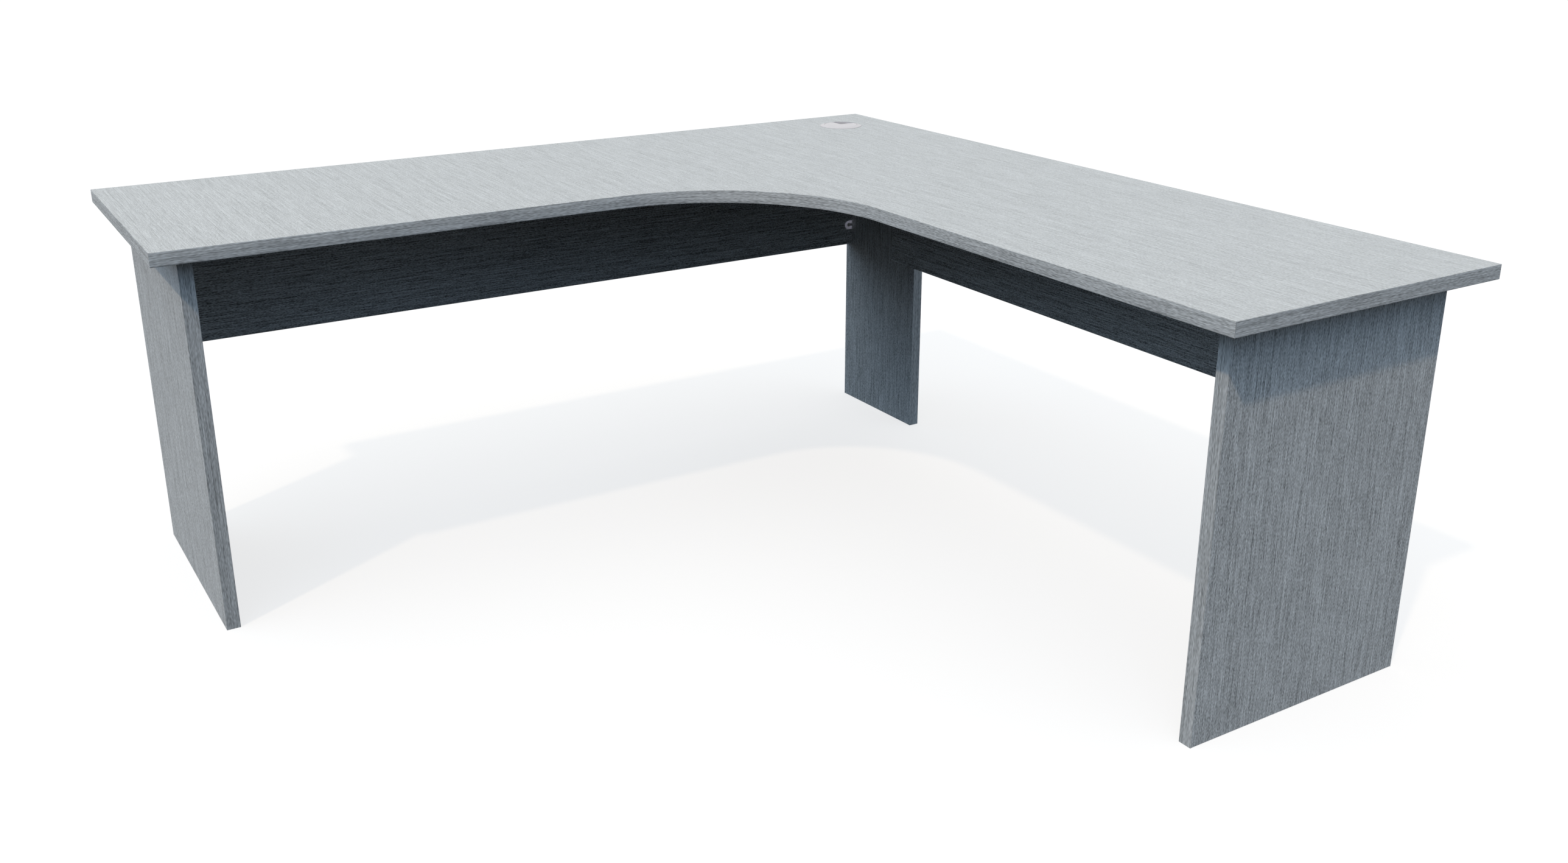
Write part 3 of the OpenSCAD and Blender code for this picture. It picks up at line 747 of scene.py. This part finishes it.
@dataclass
class Worktop:
    """L-shaped top board with a strip on each of its edges.

    Each wing is twice half long and depth deep. Its underside is at the height under.
    """

    half: float = 0.900
    depth: float = 0.600
    under: float = 0.700
    thickness: float = 0.025
    inner_radius: float = 0.350
    edge: float = 0.002
    edge_round: float = 0.001
    arc_steps: int = 72
    round_steps: int = 6
    end_softening: float = 0.0003
    straight_step: float = 0.1
    body: str = "workstation"

    def build(self) -> None:
        """Makes the front strip, and dresses the board and the other strips."""
        board = laminate("worktop_laminate", TOP_CONTRAST, Flow.ALONG_Y)
        dress(board.material(), "worktop_board")
        swept = strip_of("worktop_strip_swept", Flow.SWEPT, board, Facing.Z)
        self.front_strip(swept.material())
        along_y = strip_of("worktop_strip_y", Flow.ALONG_Y, board, Facing.Z)
        dress(along_y.material(), "worktop_edge_left_end", "worktop_edge_back_right")
        along_x = strip_of("worktop_strip_x", Flow.ALONG_X, board, Facing.Z)
        dress(along_x.material(), "worktop_edge_right_end", "worktop_edge_back_left")

    def path(self) -> list[tuple[Vector, Vector, float]]:
        """Route of the front strip's inner face, from the left end round the curve.

        Returns:
            For each point of the route: the point, the way out towards the user, and the
            distance travelled.
        """
        line = self.half - self.depth + self.edge
        centre = self.half - self.depth - self.inner_radius
        radius = self.inner_radius + self.edge
        straight = centre + self.half
        count = round(straight / self.straight_step)
        route = []
        for i in range(count):
            travelled = straight * i / count
            route.append((Vector((-self.half + travelled, line, 0)), Vector((0, -1, 0)), travelled))
        for i in range(self.arc_steps + 1):
            angle = math.pi / 2 * (1 - i / self.arc_steps)
            ray = Vector((math.cos(angle), math.sin(angle), 0))
            travelled = straight + radius * math.pi / 2 * i / self.arc_steps
            route.append((Vector((centre, centre, 0)) + ray * radius, -ray, travelled))
        for i in range(1, count + 1):
            travelled = straight * i / count
            point = Vector((line, centre - travelled, 0))
            route.append((point, Vector((-1, 0, 0)), route[count + self.arc_steps][2] + travelled))
        return route

    def section(self) -> list[tuple[float, float, float]]:
        """Section of a strip, from the inner face's foot round its outer side to its head.

        Returns:
            For each point: how far out it is, its height, and the distance round the section.
        """
        points = [(0.0, 0.0)]
        for centre_z, start in ((self.edge_round, -90.0), (self.thickness - self.edge_round, 0.0)):
            for i in range(self.round_steps + 1):
                angle = math.radians(start + 90.0 * i / self.round_steps)
                out = self.edge - self.edge_round + self.edge_round * math.cos(angle)
                points.append((out, centre_z + self.edge_round * math.sin(angle)))
        points.append((0.0, self.thickness))
        girth = 0.0
        section = []
        for i, (out, up) in enumerate(points):
            if i:
                girth += math.dist(points[i - 1], points[i])
            section.append((out, up, girth))
        return section

    def front_strip(self, material: bpy.types.Material) -> None:
        """Sweeps the front strip in one run along both wings and the curve.

        Args:
            material: the strip's material, whose grain follows the UV map "sweep".
        """
        route = self.path()
        section = self.section()
        soft = self.end_softening
        rings = []
        for i, (point, out, travelled) in enumerate(route):
            if i == 0:
                ahead = (route[1][0] - point).normalized()
                rings.append((point, out, travelled, soft))
                rings.append((point + ahead * soft, out, travelled + soft, 0.0))
            elif i == len(route) - 1:
                back = (route[-2][0] - point).normalized()
                rings.append((point + back * soft, out, travelled - soft, 0.0))
                rings.append((point, out, travelled, soft))
            else:
                rings.append((point, out, travelled, 0.0))
        mesh = bpy.data.meshes.new("worktop_front_strip")
        build = bmesh.new()
        uv = build.loops.layers.uv.new(Flow.SWEPT.value[3])
        grid = []
        for point, out, _, inset in rings:
            row = []
            for away, up, _ in section:
                away = min(max(away - inset, 0.0), self.edge)
                up = min(max(up, inset), self.thickness - inset)
                row.append(build.verts.new(point + out * away + Vector((0, 0, self.under + up))))
            grid.append(row)
        for i in range(len(rings) - 1):
            for j in range(len(section)):
                k = (j + 1) % len(section)
                corners = ((i, j), (i, k), (i + 1, k), (i + 1, j))
                face = build.faces.new([grid[a][b] for a, b in corners])
                face.smooth = True
                for loop, (a, b) in zip(face.loops, corners):
                    loop[uv].uv = (rings[a][2], section[b][2])
        for row, turn in ((grid[0], -1), (grid[-1], 1)):
            face = build.faces.new(row[::turn])
            for loop in face.loops:
                loop[uv].uv = (loop.vert.co.z - self.under, loop.vert.co.x + loop.vert.co.y)
        bmesh.ops.recalc_face_normals(build, faces=build.faces)
        build.to_mesh(mesh)
        build.free()
        mesh.materials.append(material)
        mesh.set_sharp_from_angle(angle=SHARP_ANGLE)
        strip = bpy.data.objects.new("worktop_front_strip", mesh)
        bpy.context.scene.collection.objects.link(strip)
        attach(strip, self.body)
        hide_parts("worktop_edge_front")
        log.info("worktop_front_strip: %d faces", len(mesh.polygons))


@dataclass
class PanelLeg:
    """Leg of one upright board, with a strip on its front, rear and foot edge."""

    name: str
    facing: Facing

    def build(self) -> None:
        """Dresses the leg's board and strips."""
        board = laminate(self.name + "_laminate", LEG_CONTRAST, Flow.ALONG_Z)
        dress(board.material(), self.name + "_board")
        upright = strip_of(self.name + "_strip", Flow.ALONG_Z, board, self.facing)
        dress(upright.material(), self.name + "_edge_front", self.name + "_edge_rear")
        level = Flow.ALONG_Y if self.facing is Facing.X else Flow.ALONG_X
        foot = strip_of(self.name + "_foot_strip", level, board, self.facing)
        dress(foot.material(), self.name + "_edge_foot")


@dataclass
class ModestyPanel:
    """Panel that hangs under a wing, with a strip below it and, where it ends free, at its end."""

    name: str
    facing: Facing
    free_end: bool

    def build(self) -> None:
        """Dresses the panel's board and strips."""
        flow = Flow.ALONG_Y if self.facing is Facing.X else Flow.ALONG_X
        board = laminate(self.name + "_laminate", PANEL_CONTRAST, flow)
        dress(board.material(), self.name + "_board")
        below = strip_of(self.name + "_strip", flow, board, self.facing)
        dress(below.material(), self.name + "_edge_bottom")
        if self.free_end:
            end = strip_of(self.name + "_end_strip", Flow.ALONG_Z, board, self.facing)
            dress(end.material(), self.name + "_edge_end")


@dataclass
class Connectors:
    """Knock-down connectors of one board: housings, bolts and cams, and the dowels beside them."""

    name: str
    cams: tuple[str, ...]
    dowel_flow: Flow

    def build(self) -> None:
        """Dresses the pieces."""
        dress(SATIN_NICKEL.material(), self.name + "_housings")
        dress(PLATED_STEEL.material(), self.name + "_bolts")
        dress(CAST_ZINC.material(), *(f"{self.name}_cam_{cam}" for cam in self.cams))
        beech = TurnedBeech(
            "dowel_beech", BEECH, roughness=0.6, specular=0.3, flow=self.dowel_flow,
        )
        dress(beech.material(), self.name + "_dowels")


@dataclass
class LapScrews:
    """Screws that hold the right modesty panel's lap to the corner leg."""

    def build(self) -> None:
        """Dresses the screws."""
        dress(PLATED_STEEL.material(), "lap_screws")


@dataclass
class Grommet:
    """Round cable grommet: a liner with a sloped flange, and a cap that turns in it."""

    softening: float = 0.0003
    segments: int = 2

    def build(self) -> None:
        """Dresses the liner and the cap, and breaks their sharp edges."""
        plastic = GROMMET_PLASTIC.material()
        dress(plastic, "grommet_liner", "grommet_cap")
        for name in ("grommet_liner", "grommet_cap"):
            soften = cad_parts[name].modifiers.new("broken edges", "BEVEL")
            soften.width = self.softening
            soften.segments = self.segments
            soften.limit_method = "ANGLE"
            soften.angle_limit = SHARP_ANGLE


# Studio

@dataclass(frozen=True)
class SkyPart:
    """Part of the sky that lights one side of the object, from one height to another.

    It lies along the axis, towards plus for a turn of 1 and towards minus for a turn of -1. The
    pairs say between which parts of a ray's direction it fades: in by height over the foot, out
    by height over the head, and in towards its own side over the side.
    """

    axis: str
    turn: float
    colour: Colour
    foot: tuple[float, float]
    head: tuple[float, float] | None = None
    side: tuple[float, float] = (0.1, 0.6)

    def light(self, tree: Tree, ways: dict[str, Socket]) -> Socket:
        """Gives the part's light.

        Args:
            tree: the world's tree.
            ways: the three parts of a ray's direction, by axis.

        Returns:
            The part's light, as a colour.
        """
        towards = tree.ramp(tree.math("MULTIPLY", ways[self.axis], self.turn), *self.side)
        level = tree.math("MULTIPLY", tree.ramp(ways["Z"], *self.foot), towards)
        if self.head:
            fall = tree.math("SUBTRACT", 1.0, tree.ramp(ways["Z"], *self.head))
            level = tree.math("MULTIPLY", level, fall)
        return tree.scaled(self.colour, level)


@dataclass
class Studio:
    """Pale floor, white surroundings and soft light."""

    floor_half: float = 40.0
    sky: tuple[SkyPart, ...] = (
        SkyPart("Z", 1.0, (0.98, 0.97, 0.92), (0.50, 0.90)),
        SkyPart("Y", -1.0, (0.28, 0.39, 0.53), (0.05, 0.50)),
        SkyPart("X", -1.0, (0.63, 0.82, 1.03), (0.05, 0.50)),
        SkyPart("Y", 1.0, (0.48, 0.57, 0.67), (0.02, 0.15), (0.20, 0.50)),
        SkyPart("X", 1.0, (0.48, 0.57, 0.67), (0.02, 0.15), (0.20, 0.50)),
    )
    key_towards: Point = (-0.71, -0.38, 1.0)
    key_angle: float = 2.0
    key_colour: Colour = (1.0, 0.780, 0.550)
    key_strength: float = 1.05
    floor_tone: float = 0.015
    floor_seen: float = 0.30
    floor_glow: float = 0.74

    def build(self) -> None:
        """Makes the floor, the surroundings and the lamp."""
        self.floor()
        self.surroundings()
        self.key()

    @staticmethod
    def seen(tree: Tree) -> Socket:
        """Tells the rays that show a surface itself from those that only carry its light.

        Args:
            tree: the tree to add to.

        Returns:
            1 for camera, glossy and transmission rays, and 0 for the others.
        """
        rays = tree.node("LightPath").outputs
        both = tree.math("MAXIMUM", rays["Is Camera Ray"], rays["Is Glossy Ray"])
        return tree.math("MAXIMUM", both, rays["Is Transmission Ray"])

    def floor(self) -> None:
        """Lays the floor, which keeps the object's shadow and throws little light back.

        From below it can be seen through.
        """
        made = bpy.data.materials.new("floor")
        made.use_nodes = True
        made.node_tree.nodes.clear()
        tree = Tree(made.node_tree)
        seen = self.seen(tree)
        tone = tree.math("MULTIPLY_ADD", seen, self.floor_seen - self.floor_tone, self.floor_tone)
        matt = tree.node("BsdfDiffuse")
        shade = tree.node("CombineColor")
        tree.feed(shade, Red=tone, Green=tone, Blue=tone)
        tree.feed(matt, Color=shade.outputs[0])
        glow = tree.node("Emission")
        tree.feed(glow, Strength=tree.math("MULTIPLY", seen, self.floor_glow))
        both = tree.node("AddShader")
        tree.put(both.inputs[0], matt.outputs[0])
        tree.put(both.inputs[1], glow.outputs[0])
        sides = tree.node("MixShader")
        tree.put(sides.inputs[0], tree.node("NewGeometry").outputs["Backfacing"])
        tree.put(sides.inputs[1], both.outputs[0])
        tree.put(sides.inputs[2], tree.node("BsdfTransparent").outputs[0])
        output = tree.node("OutputMaterial")
        tree.put(output.inputs["Surface"], sides.outputs[0])
        mesh = bpy.data.meshes.new("floor")
        half = self.floor_half
        mesh.from_pydata([(-half, -half, 0), (half, -half, 0), (half, half, 0), (-half, half, 0)],
                         [], [(0, 1, 2, 3)])
        mesh.materials.append(made)
        floor = bpy.data.objects.new("floor", mesh)
        bpy.context.scene.collection.objects.link(floor)
        log.info("floor: %g m square", 2 * half)

    def surroundings(self) -> None:
        """Makes the surroundings: white where seen, and a soft sky where they give light."""
        world = bpy.data.worlds.new("surroundings")
        bpy.context.scene.world = world
        world.use_nodes = True
        world.node_tree.nodes.clear()
        tree = Tree(world.node_tree)
        white = tree.node("Background")
        tree.feed(white, Color=(1.0, 1.0, 1.0, 1.0), Strength=1.0)
        ways = tree.parts(tree.node("TexCoord").outputs["Generated"])
        light = self.sky[0].light(tree, ways)
        for part in self.sky[1:]:
            light = tree.vector("ADD", light, part.light(tree, ways))
        sky = tree.node("Background")
        tree.feed(sky, Color=light, Strength=1.0)
        either = tree.node("MixShader")
        tree.put(either.inputs[0], self.seen(tree))
        tree.put(either.inputs[1], sky.outputs[0])
        tree.put(either.inputs[2], white.outputs[0])
        output = tree.node("OutputWorld")
        tree.put(output.inputs["Surface"], either.outputs[0])

    def key(self) -> None:
        """Hangs the lamp high up, behind the user and somewhat to their left."""
        lamp = bpy.data.lights.new("key", "SUN")
        lamp.energy = self.key_strength
        lamp.angle = math.radians(self.key_angle)
        lamp.color = self.key_colour
        made = bpy.data.objects.new("key", lamp)
        made.location = self.key_towards
        made.rotation_euler = Vector(self.key_towards).to_track_quat("Z", "Y").to_euler()
        bpy.context.scene.collection.objects.link(made)
        log.info("lamp key towards %s", self.key_towards)


@dataclass
class PhotoCamera:
    """Camera where the photograph was taken from, its azimuth in degrees from +Y towards +X."""

    place: Point = (-1.2652, -2.2415, 1.3123)
    azimuth: float = 31.861
    elevation: float = -19.258
    lens: float = 34.21
    shift: tuple[float, float] = (-0.00023, -0.02655)

    def build(self) -> None:
        """Makes the camera, and gives it to the scene."""
        data = bpy.data.cameras.new("photo_camera")
        data.sensor_fit = "HORIZONTAL"
        data.sensor_width = 36.0
        data.lens = self.lens
        data.shift_x, data.shift_y = self.shift
        data.clip_start = 0.01
        camera = bpy.data.objects.new("photo_camera", data)
        camera.location = self.place
        camera.rotation_euler = (
            math.radians(90.0 + self.elevation), 0.0, -math.radians(self.azimuth),
        )
        bpy.context.scene.collection.objects.link(camera)
        bpy.context.scene.camera = camera
        log.info("camera at %s", self.place)


def main() -> None:
    """Builds the camera, the studio and each sub-assembly."""
    logging.basicConfig(level=logging.INFO, format="%(name)s: %(message)s")
    PhotoCamera().build()
    Studio().build()
    Worktop().build()
    for leg, facing in (("left_leg", Facing.X), ("right_leg", Facing.Y), ("corner_leg", Facing.X)):
        PanelLeg(leg, facing).build()
        Connectors(leg, ("front", "rear"), Flow.ALONG_Z).build()
    ModestyPanel("left_modesty", Facing.Y, free_end=False).build()
    corners = ("outer_low", "outer_high", "corner_low", "corner_high")
    Connectors("left_modesty", corners, Flow.ALONG_X).build()
    ModestyPanel("right_modesty", Facing.X, free_end=True).build()
    Connectors("right_modesty", ("low", "high"), Flow.ALONG_Y).build()
    LapScrews().build()
    Grommet().build()
    bpy.context.scene.view_settings.view_transform = "Standard"


if __name__ == "__main__":
    main()
